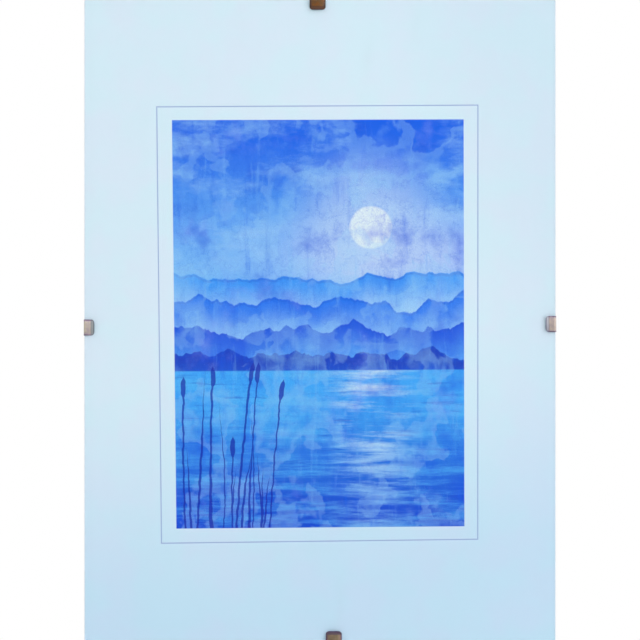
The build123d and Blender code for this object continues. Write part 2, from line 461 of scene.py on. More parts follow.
print("pane mirrors head on:", round(((PANE_INDEX - 1) / (PANE_INDEX + 1)) ** 2, 4))

# %% Ground rim
RIM_TINT = (0.9, 0.97, 0.94, 1)


def way_back(wires):
    """How far a surface points back: 1 behind, 0 at the edges and -1 in front."""
    return wires.parts(wires.node("ShaderNodeNewGeometry").outputs["Normal"])[1]


def bumped_skin(wires, tone, rough, relief, strength, depth, extra=()):
    """A Principled skin with a relief of this strength and depth, and what else it needs."""
    bump = wires.out("ShaderNodeBump", {"Strength": strength, "Distance": depth, "Height": relief})
    fed = {"Base Color": tone, "Roughness": rough, "Normal": bump, **dict(extra)}
    return wires.out("ShaderNodeBsdfPrincipled", fed)


ground_rim, wires, surface = new_material("ground_rim")
place = object_place(wires)
rim_streaks = wires.noise(wires.stretched(place, 1.0, 14.0, 1.0), 160.0, 4.0, 0.6)
rim_green = wires.blend(rim_streaks, paint(84, 128, 116), paint(150, 190, 178))
seam_frost = wires.blend(rim_streaks, paint(202, 217, 238), paint(230, 238, 252))
seamwards = wires.maths("ABSOLUTE", way_back(wires))
rim_tone = wires.stain(rim_green, seam_frost, seamwards, 0.3, 0.6)
grind = wires.noise(place, 2200.0, 3.0, 0.6)
rim_rough = wires.step(grind, 0.3, 0.7, 0.42, 0.6)
rim_skin = bumped_skin(wires, rim_tone, rim_rough, grind, strength=0.35, depth=0.03 * MM)
ray = wires.node("ShaderNodeLightPath").outputs
rim_pass = wires.out("ShaderNodeBsdfTransparent", {"Color": RIM_TINT})
lamps_in = wires.mixed(ray["Is Shadow Ray"], rim_skin, rim_pass)
wires.feed(surface, wires.mixed(ray["Is Diffuse Ray"], lamps_in, rim_pass))
print("rim nodes:", len(ground_rim.node_tree.nodes))

# %% [markdown]
# Glass and paper never quite touch. The solids do, and two faces in one plane would fight over
# which one is seen, so the pane's back face stands off the sheet by a film of air.

# %% The pane's mesh, with the rim's faces told from the clear ones by the way they point
FLAT_FACE = 0.99
AIR_FILM = 0.02 * MM
pane_shape = merged_solid("glass_pane")
for corner in pane_shape.verts:
    corner.co.y = min(corner.co.y, sheet_low.y - AIR_FILM)
for face in pane_shape.faces:
    face.material_index = 0 if abs(face.normal.y) > FLAT_FACE else 1
place_piece("clear_pane", pane_shape, "glass_pane", "panel", [pane_clear, ground_rim])

# %% [markdown]
# ## The printed sheet
# The sheet is a matt paper tinted pale blue, darker towards its foot and towards its right side:
# painted shade, standing in for light that falls off over the sheet. A thin ruled line runs round
# a picture. Both sit a little askew, as a trimmed sheet does, so each side has its own place and
# its own lean. The sheet is a plain slab, and so all of this is ink: a material that measures how
# far a point lies from each side.
# The picture is a wash of blues in the manner of a watercolour: far hills in morning mist over
# a still lake, a pale moon and a few reeds. It is drawn by sums alone, with no image.

# %% Where the ruled line and the picture lie, beside the pane's middle
# Each side has its place in the middle of its run, and its lean: sideways travel over length
rule_sides = {
    "left": (-100.5 * MM, -0.0110),
    "right": (98.55 * MM, 0.0004),
    "top": (133.95 * MM, 0.0055),
    "bottom": (-137.85 * MM, 0.0127),
}
picture_sides = {
    "left": (-91.1 * MM, -0.0110),
    "right": (89.95 * MM, -0.0020),
    "top": (125.35 * MM, 0.0027),
    "bottom": (-129.25 * MM, 0.0083),
}
RULE_HALF = 0.34 * MM
INK_EDGE = 0.12 * MM
print("picture in mm:", round((picture_sides["right"][0] - picture_sides["left"][0]) / MM, 1), "by",
      round((picture_sides["top"][0] - picture_sides["bottom"][0]) / MM, 1))


# %% How far a point lies from leaning sides
def side_lines(wires, across, height, sides):
    """Where a leaning rectangle's left, right, top and bottom side run beside a point."""
    runs = {"left": height, "right": height, "top": across, "bottom": across}
    return [wires.line(run, sides[side][1], sides[side][0]) for side, run in runs.items()]


def depth_inside(wires, across, height, lines):
    """How far a point lies inside the rectangle, negative outside."""
    left, right, top, bottom = lines
    sideways = wires.maths("MINIMUM", wires.less(across, left), wires.less(right, across))
    upright = wires.maths("MINIMUM", wires.less(top, height), wires.less(height, bottom))
    return wires.maths("MINIMUM", sideways, upright)


def share_between(wires, value, low, high):
    """0 where the value is low, 1 where it is high."""
    return wires.maths("DIVIDE", wires.less(value, low), wires.less(high, low))


steepest = max(abs(lean) for _, lean in rule_sides.values())
print("the ruled line leans by up to", round(math.degrees(steepest), 2), "degrees")

# %% [markdown]
# Ink under glass looks a little darker than ink in the open, because the light goes through the
# pane twice. `ink` makes up for that, so that the colours below are the ones that are seen.

# %% Inks
PANE_PASS = 0.92


def ink(red, green, blue):
    """An ink that looks like this screen colour once it is under the pane."""
    return tuple(min(part / PANE_PASS, 1.0) for part in paint(red, green, blue)[:3]) + (1.0,)


print("white paper under the pane:", [round(part, 3) for part in ink(215, 235, 249)])

# %% The picture's sky
GLOW_UP = 0.66


def draw_sky(wires, place, across, up):
    """Azure above, paling to a lavender glow over the hills, with thin cloud."""
    sky = wires.blend(wires.step(up, 0.6, 1.02), ink(104, 180, 250), ink(0, 92, 232))
    cloud_noise = wires.noise(wires.stretched(place, 1.0, 1.0, 2.6), 15.0, 6.0, 0.62)
    cloud = wires.times(wires.step(cloud_noise, 0.46, 0.7), wires.step(up, 0.5, 0.8, 0.25, 0.68))
    sky = wires.blend(cloud, sky, ink(152, 204, 252))
    glow = wires.step(wires.apart(up, GLOW_UP), 0.16, 0.0)
    glow = wires.times(glow, wires.step(across, 0.1, 0.75, 0.12, 0.75))
    return wires.blend(glow, sky, ink(188, 204, 251))


print("the sky glows at", GLOW_UP, "of the picture's height")

# %% The moon
MOON_ACROSS, MOON_UP, MOON_RADIUS = 0.68, 0.735, 0.052
MOON_GLOW = 0.24
MOON_EDGE = 0.003
PICTURE_SHAPE = 0.71


def draw_moon(wires, colour, across, up):
    """A pale disc left bare by the wash, with a soft glow round it."""
    sideways = wires.times(wires.less(across, MOON_ACROSS), PICTURE_SHAPE)
    upright = wires.less(up, MOON_UP)
    squares = wires.maths("ADD", wires.times(sideways, sideways), wires.times(upright, upright))
    distance = wires.maths("SQRT", squares)
    colour = wires.stain(colour, ink(196, 218, 253), distance, MOON_GLOW, MOON_RADIUS, 0.6)
    outside, inside = MOON_RADIUS + MOON_EDGE, MOON_RADIUS - MOON_EDGE
    return wires.stain(colour, ink(228, 240, 255), distance, outside, inside, 0.9)


picture_height = picture_sides["top"][0] - picture_sides["bottom"][0]
print("moon across in mm:", round(2 * MOON_RADIUS * picture_height / MM, 1))

# %% Hills, from the farthest to the nearest
# Crest height, swing, waves across, seed, crest colour and the mist's colour at the foot
hills = (
    (0.615, 0.060, 3.2, 1.7, (44, 148, 247), (178, 214, 253)),
    (0.555, 0.070, 4.1, 9.3, (4, 112, 238), (148, 200, 252)),
    (0.485, 0.060, 5.3, 4.4, (0, 78, 222), (84, 166, 249)),
    (0.425, 0.034, 8.5, 6.1, (0, 42, 184), (10, 100, 234)),
)
HILL_EDGE = 0.0016
HILL_MIST = 0.12
WET_EDGE = 0.004


def draw_hill(wires, colour, across, up, hill):
    """One ridge of a single wash: dark along its wet edge, thinning into mist below."""
    height, swing, waves, seed, crest_colour, mist_colour = hill
    fed = {"W": wires.line(across, waves, seed), "Scale": 1.0, "Detail": 6.0}
    ridge = wires.out("ShaderNodeTexNoise", fed, noise_dimensions="1D")
    crest = wires.line(wires.less(ridge, 0.5), 2 * swing, height)
    below = wires.less(crest, up)
    wash = wires.blend(wires.step(below, 0.0, HILL_MIST), ink(*crest_colour), ink(*mist_colour))
    wash = wires.stain(wash, ink(6, 60, 206), wires.apart(below, WET_EDGE), WET_EDGE, 0.001, 0.35)
    return wires.stain(colour, wash, below, -HILL_EDGE, HILL_EDGE, 0.94)


print("crests from far to near, as shares of the height:", [hill[0] for hill in hills])

# %% The lake
SHORE = 0.385
SHORE_EDGE = 0.002


def draw_lake(wires, colour, place, across, up):
    """Still water: bright at the far shore, deep at the foot, with level brush strokes."""
    water = wires.blend(wires.step(up, 0.0, SHORE), ink(0, 62, 208), ink(60, 166, 249))
    stroke_place = wires.stretched(place, 1.0, 1.0, 11.0)
    strokes = wires.step(wires.noise(stroke_place, 15.0, 6.0, 0.66), 0.42, 0.66)
    water = wires.blend(wires.times(strokes, 0.6), water, ink(84, 186, 251))
    troughs = wires.noise(stroke_place, 31.0, 4.0, 0.6)
    water = wires.stain(water, ink(0, 64, 206), troughs, 0.56, 0.7, 0.5)
    glitter = wires.times(wires.step(wires.apart(across, MOON_ACROSS), 0.2, 0.0), strokes)
    glitter = wires.times(glitter, wires.step(up, 0.02, SHORE, 0.2, 0.95))
    water = wires.blend(glitter, water, ink(216, 234, 254))
    return wires.stain(colour, water, up, SHORE + SHORE_EDGE, SHORE - SHORE_EDGE)


print("far shore in mm above the picture's foot:", round(SHORE * picture_height / MM, 1))

# %% [markdown]
# The reeds are the fine strokes of the picture. A stalk is where the distance to a leaning
# parabola is less than the stroke's half width. Every third one carries a seed head, and the rest
# run out to a point. One loop with a fixed seed makes them all differ.

# %% The reeds
REED_COUNT = 17
HEAD_EVERY = 3
REED_SEED = 5
REED_EDGE = 0.0016
STALK_TAPER, BLADE_TAPER = 0.97, 0.25
SEED_HALF, SEED_BODY, SEED_REACH = 0.0085, 0.012, 0.032


def draw_reeds(wires, colour, across, up):
    """Dark stalks and blades in the near corner, some with seed heads."""
    dice = random.Random(REED_SEED)
    strokes = None
    for index in range(REED_COUNT):
        foot = dice.uniform(0.01, 0.33)
        top = dice.uniform(0.22, 0.52) * (1.15 - 1.4 * foot)
        half = dice.uniform(0.0028, 0.0048)
        lean = dice.uniform(-0.05, 0.1)
        headed = index % HEAD_EVERY == 0
        bow = dice.uniform(0.0, 0.2) if headed else dice.uniform(-0.5, 0.9)
        stalk = wires.line(up, wires.line(up, bow, lean), foot)
        tapers_from = top * (STALK_TAPER if headed else BLADE_TAPER)
        width = wires.step(up, tapers_from, top, half, 0.0)
        if headed:
            head_half = wires.step(wires.apart(up, top), SEED_REACH, SEED_BODY, 0.0, SEED_HALF)
            width = wires.maths("MAXIMUM", width, head_half)
        within = wires.less(width, wires.apart(across, stalk))
        stroke = wires.maths("DIVIDE", within, REED_EDGE)
        strokes = stroke if strokes is None else wires.maths("MAXIMUM", strokes, stroke)
    cover = wires.out("ShaderNodeClamp", (strokes, 0.0, 0.85))
    return wires.blend(cover, colour, ink(4, 30, 172))


print(REED_COUNT, "reeds,", len(range(0, REED_COUNT, HEAD_EVERY)), "of them with a seed head")

# %% [markdown]
# Pigment never lies evenly. Over the whole picture go soft blooms, upright runs of the wash,
# thin veins where it dried, a breath of violet, and the paper's own grain. Where wet paint ran
# back into damp, it pushed the pigment aside and left pale islands with crinkled shores.


# %% The hand of the watercolour
def bent_place(wires, place, scale, reach, detail=4.0):
    """The place pushed about by cloudy noise, so that what is drawn on it runs unevenly."""
    fed = {"Vector": place, "Scale": scale, "Detail": detail}
    push = wires.node("ShaderNodeTexNoise", fed).outputs["Color"]
    push = wires.vector("SUBTRACT", push, (0.5, 0.5, 0.5))
    return wires.vector("ADD", place, wires.stretched(push, reach, reach, reach))


def lay_pigment(wires, colour, place):
    """Blooms, runs, veins, backruns and grain over a washed picture."""
    bloom = wires.noise(place, 30.0, 6.0, 0.62)
    colour = wires.stain(colour, ink(146, 206, 253), bloom, 0.52, 0.72, 0.34)
    colour = wires.stain(colour, ink(0, 76, 222), bloom, 0.5, 0.3, 0.55)
    runs = wires.noise(wires.stretched(place, 6.0, 1.0, 0.8), 24.0, 6.0, 0.68)
    colour = wires.stain(colour, ink(130, 196, 252), runs, 0.54, 0.74, 0.3)
    colour = wires.stain(colour, ink(0, 90, 230), runs, 0.47, 0.3, 0.34)
    veins = wires.apart(wires.noise(place, 58.0, 7.0, 0.68), 0.5)
    colour = wires.stain(colour, ink(0, 92, 220), veins, 0.014, 0.0, 0.3)
    backrun = wires.noise(bent_place(wires, place, 40.0, 30 * MM), 26.0, 3.0, 0.55)
    shore = wires.step(backrun, 0.5, 0.53, 0.0, 0.22)
    island = wires.times(shore, wires.step(backrun, 0.64, 0.55))
    colour = wires.blend(island, colour, ink(150, 206, 253))
    violet = wires.noise(wires.vector("ADD", place, (3.0, 0.0, 5.0)), 25.0, 5.0, 0.62)
    colour = wires.stain(colour, ink(146, 164, 248), violet, 0.54, 0.76, 0.34)
    grain = wires.noise(place, 1100.0, 2.0, 0.6)
    return wires.blend(wires.step(grain, 0.3, 0.7, 0.14, 0.0), colour, ink(0, 80, 214))


print("pigment helpers ready: blooms, runs, veins, backruns, violet and grain")

# %% The sheet's material: paper, ruled line and picture
PAINTED_SHADE_TINT = (0.935, 0.95, 0.965, 1)
HAND_TREMBLE = 3.0 * MM
TREMBLE_ACROSS, TREMBLE_UP = 5.0, 3.0
printed_paper, wires, surface = new_material("printed_paper")
place = wires.vector("SUBTRACT", object_place(wires), tuple(middle))
across, _, height = wires.parts(place)
# Darker towards the foot and the right: painted shade of light falling off, with a little random tone
# from the noise
tone_and_painted_fall = wires.line(wires.noise(place, 5.0, 2.0), 0.06, wires.less(height, 0.03))
tone_and_painted_fall = wires.line(across, -0.12, tone_and_painted_fall)
paper = wires.blend(wires.step(tone_and_painted_fall, -0.18, 0.0), ink(195, 221, 242), ink(216, 233, 251))
wander = wires.noise(place, 26.0, 4.0, 0.6)
hue = wires.blend(wires.step(wander, 0.36, 0.64), (0.955, 1.0, 1.0, 1), (1.0, 0.972, 1.0, 1))
paper = wires.blend(1.0, paper, hue, "MULTIPLY")
# A further painted shade towards the right side, stronger higher up
painted_shade = wires.blend(1.0, paper, PAINTED_SHADE_TINT, "MULTIPLY")
paper = wires.stain(paper, painted_shade, wires.line(height, 0.35, across), 0.07, 0.2)
fibre = wires.noise(place, 900.0, 3.0, 0.7)
paper = wires.blend(wires.step(fibre, 0.3, 0.7, 0.05, 0.0), paper, ink(176, 206, 232))

rule_lines = side_lines(wires, across, height, rule_sides)
rule_off = wires.maths("ABSOLUTE", depth_inside(wires, across, height, rule_lines))
outside, inside = RULE_HALF + INK_EDGE, RULE_HALF - INK_EDGE
paper = wires.stain(paper, ink(136, 160, 210), rule_off, outside, inside, 0.85)

picture_lines = side_lines(wires, across, height, picture_sides)
left, right, top, bottom = picture_lines
picture_across = share_between(wires, across, left, right)
picture_up = share_between(wires, height, bottom, top)
bent = wires.parts(wires.vector("SUBTRACT", bent_place(wires, place, 120.0, HAND_TREMBLE), place))
picture_across = wires.line(bent[0], TREMBLE_ACROSS, picture_across)
washed_up = wires.line(bent[2], TREMBLE_UP, picture_up)
picture = draw_sky(wires, place, picture_across, picture_up)
picture = draw_moon(wires, picture, picture_across, picture_up)
for hill in hills:
    picture = draw_hill(wires, picture, picture_across, washed_up, hill)
picture = draw_lake(wires, picture, place, picture_across, picture_up)
picture = lay_pigment(wires, picture, place)
picture = draw_reeds(wires, picture, picture_across, picture_up)
picture_depth = depth_inside(wires, across, height, picture_lines)
front_tone = wires.stain(paper, picture, picture_depth, -INK_EDGE, INK_EDGE)
print("ink nodes:", len(printed_paper.node_tree.nodes))

# %% [markdown]
# Only the front is printed. The back and the cut edges are the bare white of the paper, told
# apart by the way the surface points.

# %% The sheet's skin
SHINE = "Specular IOR Level"
bare_paper = wires.blend(fibre, paint(226, 226, 222), paint(240, 240, 238))
sheet_tone = wires.stain(bare_paper, front_tone, way_back(wires), -0.5, -0.9)
matt = wires.step(fibre, 0.2, 0.8, 0.5, 0.62)
sheet_skin = bumped_skin(wires, sheet_tone, matt, fibre, strength=0.15, depth=0.02 * MM,
                         extra={SHINE: 0.12})
wires.feed(surface, sheet_skin)
sheet = frame["nodes"]["insert_sheet"]
sheet.data.materials.clear()
sheet.data.materials.append(printed_paper)
print("the sheet keeps its solid and gets", sheet.material_slots[0].name)

# %% [markdown]
# ## The hardboard back
# Hardboard is wood fibre pressed hot against a wire screen, so one side is smooth and the other
# carries the screen's print: rows of small raised squares, a good millimetre apart, with grooves
# where the wires lay. The rough side faces the wall. As a mesh these would be some seventy-five
# thousand squares, so two crossed waves feed a bump instead, on a lattice that noise bends a
# little. The same waves paint the grooves darker on every face: painted shade in the grooves.
# The saw and the punch leave the edges darker and a little soft, which a narrow bevel gives.

# %% Hardboard
SCREEN_PITCH = 1.25 * MM
SCREEN_WARP = 0.5 * MM
hardboard, wires, surface = new_material("hardboard")
place = object_place(wires)
warped = bent_place(wires, place, 90.0, SCREEN_WARP, detail=2.0)
pitched = {0: warped, "Scale": math.pi / SCREEN_PITCH}
screen_place = wires.out("ShaderNodeVectorMath", pitched, operation="SCALE")
screen_waves = wires.parts(wires.vector("ABSOLUTE", wires.vector("SINE", screen_place)))
screen = wires.times(screen_waves[0], screen_waves[2])
fibres = wires.noise(wires.stretched(place, 1.0, 1.0, 1.35), 420.0, 6.0, 0.72)
clumps = wires.noise(place, 60.0, 4.0, 0.6)
flecks = wires.noise(place, 1500.0, 2.0, 0.5)
brown = wires.blend(wires.step(clumps, 0.3, 0.7), paint(110, 77, 50), paint(123, 88, 58))
brown = wires.stain(brown, paint(156, 118, 81), fibres, 0.42, 0.66, 0.45)
brown = wires.stain(brown, paint(78, 52, 35), fibres, 0.46, 0.3, 0.5)
brown = wires.stain(brown, paint(52, 36, 26), flecks, 0.66, 0.78, 0.5)
# Painted shade: the screen's grooves darker brown
brown = wires.blend(wires.step(screen, 0.0, 0.45, 0.4, 0.0), brown, paint(66, 45, 30))
backwards = way_back(wires)
edge_layers = wires.noise(wires.stretched(place, 1.0, 9.0, 1.0), 300.0, 5.0, 0.7)
edge_brown = wires.blend(edge_layers, paint(58, 38, 25), paint(104, 74, 50))
brown = wires.stain(brown, edge_brown, wires.maths("ABSOLUTE", backwards), 0.8, 0.4)
relief = wires.line(fibres, 0.35, wires.times(screen, wires.step(backwards, 0.5, 0.9)))
board_rough = wires.step(fibres, 0.3, 0.7, 0.62, 0.82)
board_skin = bumped_skin(wires, brown, board_rough, relief, strength=0.9, depth=0.12 * MM,
                         extra={SHINE: 0.3})
wires.feed(surface, board_skin)
print("screen print every", SCREEN_PITCH / MM, "mm")

# %% The board, a merged copy of its solid with softened edges
BOARD_SOFTNESS = 0.15 * MM
SOFTENED_FROM = math.radians(50)
board = place_piece("hardboard_back", merged_solid("backing_board"), "backing_board", "panel",
                    [hardboard])
soft_edges = board.modifiers.new("soft_edges", "BEVEL")
soft_edges.width = BOARD_SOFTNESS
soft_edges.segments = 2
soft_edges.limit_method = "ANGLE"
soft_edges.angle_limit = SOFTENED_FROM
print("board edges softened by", BOARD_SOFTNESS / MM, "mm")

# %% [markdown]
# ## Strip steel
# The clips and the hangers' straps are the same kind of thing: a flat strip, bent sideways along
# a path, rounded at its ends, with a hole punched through. So one Geometry Nodes tree makes them
# all. It rounds the path's corners, each by its own radius, steps along it evenly, sweeps the
# strip's section, narrows it where the plan says, and punches the hole with a Boolean.
# Before the punch it stores where each point lay on the flat blank. The steel's grain follows
# that map round the bends.


# %% Helpers for Geometry Nodes
def new_tree(name, inputs):
    """A Geometry Nodes tree with named inputs. Gives the tree, its wires, its inputs and its end."""
    tree = bpy.data.node_groups.new(name, "GeometryNodeTree")
    tree.interface.new_socket(name="Geometry", in_out="OUTPUT", socket_type="NodeSocketGeometry")
    tree.interface.new_socket(name="Geometry", in_out="INPUT", socket_type="NodeSocketGeometry")
    for label, kind in inputs.items():
        tree.interface.new_socket(name=label, in_out="INPUT", socket_type=f"NodeSocket{kind}")
    wires = Wires(tree)
    given = wires.node("NodeGroupInput").outputs
    return tree, wires, given, wires.node("NodeGroupOutput").inputs[0]


def run_tree(tree, host, values):
    """Runs a tree on a host object with these input values, and gives the plain mesh that it makes."""
    modifier = host.modifiers.new(tree.name, "NODES")
    modifier.node_group = tree
    for item in tree.interface.items_tree:
        if item.item_type == "SOCKET" and item.in_out == "INPUT" and item.name in values:
            modifier[item.identifier] = values[item.name]
    bpy.context.view_layer.update()
    depsgraph = bpy.context.evaluated_depsgraph_get()
    mesh = bpy.data.meshes.new_from_object(host.evaluated_get(depsgraph))
    bpy.data.objects.remove(host)
    return mesh


def path_host(corners):
    """A curve object through corners, each a place along, a place in depth and a bend radius."""
    curve = bpy.data.curves.new("bend_path", "CURVE")
    curve.dimensions = "3D"
    spline = curve.splines.new("POLY")
    spline.points.add(len(corners) - 1)
    for point, (along, depth, radius) in zip(spline.points, corners):
        point.co = (along, depth, 0, 1)
        point.radius = radius
    return add_object("bend_path", curve)


print("node groups so far:", len(bpy.data.node_groups))

# %% Helpers for both trees
CREASE_ANGLE = math.radians(35)


def bent_path(wires, given, bend_points):
    """The path with each corner rounded by its own radius, and stepped along evenly."""
    fed = {"Curve": given["Geometry"], "Count": bend_points}
    fed["Radius"] = wires.out("GeometryNodeInputRadius")
    bends = wires.out("GeometryNodeFilletCurve", fed, mode="POLY")
    fed = {"Curve": bends, "Length": given["Step"]}
    stepped = wires.out("GeometryNodeResampleCurve", fed, mode="LENGTH")
    return wires.out("GeometryNodeSetCurveRadius", {"Curve": stepped, "Radius": 1.0})


def swept_bar(wires, path, section):
    """A bar with this section along the path, its ends closed."""
    fed = {"Curve": path, "Profile Curve": section, "Fill Caps": True}
    return wires.out("GeometryNodeCurveToMesh", fed)


def stored(wires, geometry, name, value, kind="FLOAT", domain="POINT"):
    """The geometry with a value stored on it under a name."""
    fed = {"Geometry": geometry, "Name": name, "Value": value}
    return wires.out("GeometryNodeStoreNamedAttribute", fed, data_type=kind, domain=domain)


def read_back(wires, name):
    """A stored value, read back by its name."""
    return wires.out("GeometryNodeInputNamedAttribute", {"Name": name}, data_type="FLOAT")


def shaded_steel(wires, geometry, material):
    """Smooth shading but for real creases, then the plain mesh with its material."""
    smooth = wires.out("GeometryNodeSetShadeSmooth", (geometry,), domain="FACE")
    angle = wires.out("GeometryNodeInputMeshEdgeAngle")
    sharp = wires.maths("GREATER_THAN", angle, CREASE_ANGLE)
    creased = wires.out("GeometryNodeSetShadeSmooth", (smooth, sharp, False), domain="EDGE")
    real = wires.out("GeometryNodeRealizeInstances", (creased,))
    return wires.out("GeometryNodeSetMaterial", {"Geometry": real, "Material": material})


print("creases from", round(math.degrees(CREASE_ANGLE)), "degrees up stay sharp")

# %% The tree that bends strip steel: path, section and sweep
STRIP_BEND_POINTS = 12
STRIP_EDGE_POINTS = 3
strip_sizes = (
    "Width", "Thickness", "Edge Radius", "Start Corner", "End Corner", "End Width",
    "Taper Length", "Step",
)
strip_inputs = {name: "Float" for name in strip_sizes}
strip_inputs.update({"Punch": "Object", "Weld": "Object", "Material": "Material"})
strip_tree, wires, given, result = new_tree("bent_strip", strip_inputs)
run_length = wires.node("GeometryNodeSplineParameter").outputs["Length"]
whole_length = wires.node("GeometryNodeSplineLength").outputs["Length"]
path = bent_path(wires, given, STRIP_BEND_POINTS)
path = stored(wires, path, "along", run_length)
path = stored(wires, path, "left_over", wires.less(whole_length, run_length))
fed = {"Width": given["Thickness"], "Height": given["Width"]}
section = wires.out("GeometryNodeCurvePrimitiveQuadrilateral", fed, mode="RECTANGLE")
fed = {"Curve": section, "Count": STRIP_EDGE_POINTS, "Radius": given["Edge Radius"]}
section = wires.out("GeometryNodeFilletCurve", fed, mode="POLY")
strip = swept_bar(wires, path, section)
print("strip inputs:", ", ".join(strip_inputs))


# %% The tree's second half: plan, map of the blank, punch and weld
def corner_cut(wires, from_end, radius):
    """How much a rounded end takes off the half width at a distance from that end."""
    reach = wires.less(radius, wires.maths("MINIMUM", from_end, radius))
    squares = wires.less(wires.times(radius, radius), wires.times(reach, reach))
    return wires.less(radius, wires.maths("SQRT", squares))


along = read_back(wires, "along")
left_over = read_back(wires, "left_over")
limits = (left_over, 0.0, given["Taper Length"], given["End Width"], given["Width"])
half_plan = wires.times(wires.out("ShaderNodeMapRange", limits), 0.5)
half_plan = wires.less(half_plan, corner_cut(wires, along, given["Start Corner"]))
half_plan = wires.less(half_plan, corner_cut(wires, left_over, given["End Corner"]))
half_full = wires.times(given["Width"], 0.5)
narrowing = wires.less(wires.maths("DIVIDE", half_plan, half_full), 1.0)
# A field is worked out afresh at each node it feeds: the full strip first, then the narrowed one
sideways = wires.parts(wires.out("GeometryNodeInputPosition"))[2]
fed = {"Geometry": strip, "Offset": wires.joined(0.0, 0.0, wires.times(sideways, narrowing))}
strip = wires.out("GeometryNodeSetPosition", fed)
strip = stored(wires, strip, "blank", wires.joined(along, sideways, 0.0), "FLOAT2", "CORNER")
punch_part, weld_part = (
    wires.node("GeometryNodeObjectInfo", {"Object": given[part]}).outputs["Geometry"]
    for part in ("Punch", "Weld")
)
cut = {"operation": "DIFFERENCE", "solver": "EXACT"}
strip = wires.out("GeometryNodeMeshBoolean", {"Mesh 1": strip, "Mesh 2": punch_part}, **cut)
join = {"operation": "UNION", "solver": "EXACT"}
welded = wires.node("GeometryNodeMeshBoolean", {"Mesh 2": strip}, **join)
wires.feed(welded.inputs["Mesh 2"], weld_part)
wires.feed(result, shaded_steel(wires, welded.outputs[0], given["Material"]))
print("strip tree:", len(strip_tree.nodes), "nodes")

# %% [markdown]
# ## The clips
# A clip is punched from 0.4 mm spring steel. It bears on the glass with a crease just behind its
# flared tip, turns round the panel's edge, and comes back along the board as a bowed arm. The arm
# rests on the board at its far end, where a finger end turns up. A tongue lanced out of the arm
# drops into the board's slot. The path below is that side view: places inwards from the glass's
# edge, and back from its front, each with the radius of its bend.

# %% The clip's sizes
CLIP_WIDTH = 10.0 * MM
CLIP_THICKNESS = 0.4 * MM
GRIP_GAP = 0.05 * MM
TAB_REACH = 6.2 * MM
TAB_CORNER = 2.2 * MM
CREASE_REACH = 4.1 * MM
CREASE_RADIUS = 0.7 * MM
TAB_SLOPE = math.radians(5)
FLARE_SLOPE = math.radians(26)
FRONT_BEND = 0.8 * MM
REAR_BEND = 1.0 * MM
ARM_RISE = 1.2 * MM
ARM_SLOPE = math.radians(3)
ARM_BEND = 20.0 * MM
SEAT_INSET = 38.5 * MM
SEAT_BEND = 1.5 * MM
FINGER_SLOPE = math.radians(20)
FINGER_LENGTH = 5.0 * MM
TAIL_WIDTH = 7.4 * MM
TAIL_CORNER = 2.4 * MM
print("clip strip in mm:", round(CLIP_WIDTH / MM, 1), "by", round(CLIP_THICKNESS / MM, 1))


# %% The clip's side view
def bend_corner(centre, radius, slope_before, slope_after, side):
    """Corner of the two lines that a bend joins, from the bend's centre and the slopes beside it."""
    half_turn = (slope_before + slope_after) / 2
    lean = (slope_after - slope_before) / 2
    reach = radius / math.cos(half_turn)
    return Vector((centre[0] + reach * math.sin(lean), centre[1] + side * reach * math.cos(lean)))


def clip_corners():
    """The strip's middle line from the flared tip to the finger end, as corners with bend radii."""
    half_strip = CLIP_THICKNESS / 2
    web = -(GRIP_GAP + half_strip)
    crease = (CREASE_REACH, -(GRIP_GAP + half_strip + CREASE_RADIUS))
    crease_corner = bend_corner(crease, CREASE_RADIUS, TAB_SLOPE, FLARE_SLOPE, 1)
    tip_reach = TAB_REACH - half_strip * math.sin(FLARE_SLOPE)
    tip_depth = crease_corner.y - (tip_reach - crease_corner.x) * math.tan(FLARE_SLOPE)
    front_depth = crease_corner.y - (crease_corner.x - web) * math.tan(TAB_SLOPE)
    land = panel_depth + ARM_RISE + half_strip
    seat = (SEAT_INSET, panel_depth + GRIP_GAP + half_strip + SEAT_BEND)
    seat_corner = bend_corner(seat, SEAT_BEND, ARM_SLOPE, FINGER_SLOPE, -1)
    arm_start = seat_corner.x - (land - seat_corner.y) / math.tan(ARM_SLOPE)
    finger = Vector((math.cos(FINGER_SLOPE), math.sin(FINGER_SLOPE))) * FINGER_LENGTH
    return [
        (tip_reach, tip_depth, 0),
        (*crease_corner, CREASE_RADIUS),
        (web, front_depth, FRONT_BEND),
        (web, land, REAR_BEND),
        (arm_start, land, ARM_BEND),
        (*seat_corner, SEAT_BEND),
        (*(seat_corner + finger), 0),
    ]


for inwards, depth, bend in clip_corners():
    print(f"corner {inwards / MM:6.2f} in, {depth / MM:6.2f} back, bend radius {bend / MM:.1f} mm")

# %% [markdown]
# The tongue is a short strip of its own, a hair thinner than the arm, so that its root ends inside
# the arm's steel and the two join without faces that coincide. The window is what the lance left
# open behind it.

# %% Sizes of the tongue and its window
SLOT_INSET = 33.0 * MM
TONGUE_WIDTH = 4.0 * MM
TONGUE_DEPTH = 2.4 * MM
TONGUE_BEND = 0.6 * MM
TONGUE_THINNING = 0.02 * MM
TONGUE_CORNER = 0.6 * MM
LANCE_GAP = 0.1 * MM
WINDOW_LENGTH = 3.8 * MM
STRIP_EDGE = 0.06 * MM
STRIP_STEP = 0.12 * MM
print("tongue reaches", round(TONGUE_DEPTH / MM, 1), "mm into a slot", round(SLOT_INSET / MM, 1), "mm in")


# %% Helpers for strips on the bench
def arm_depth_at(reach):
    """Depth of the sloping arm's middle line at a distance from the glass's edge."""
    seat_corner = clip_corners()[-2]
    return seat_corner[1] + (seat_corner[0] - reach) * math.tan(ARM_SLOPE)


def box_punch(name, middle_point, sides):
    """A temporary cuboid for the tree's Boolean."""
    shape = bmesh.new()
    bmesh.ops.create_cube(shape, size=1.0)
    bmesh.ops.scale(shape, vec=sides, verts=shape.verts)
    bmesh.ops.translate(shape, vec=middle_point, verts=shape.verts)
    return add_object(name, plain_mesh(name, shape))


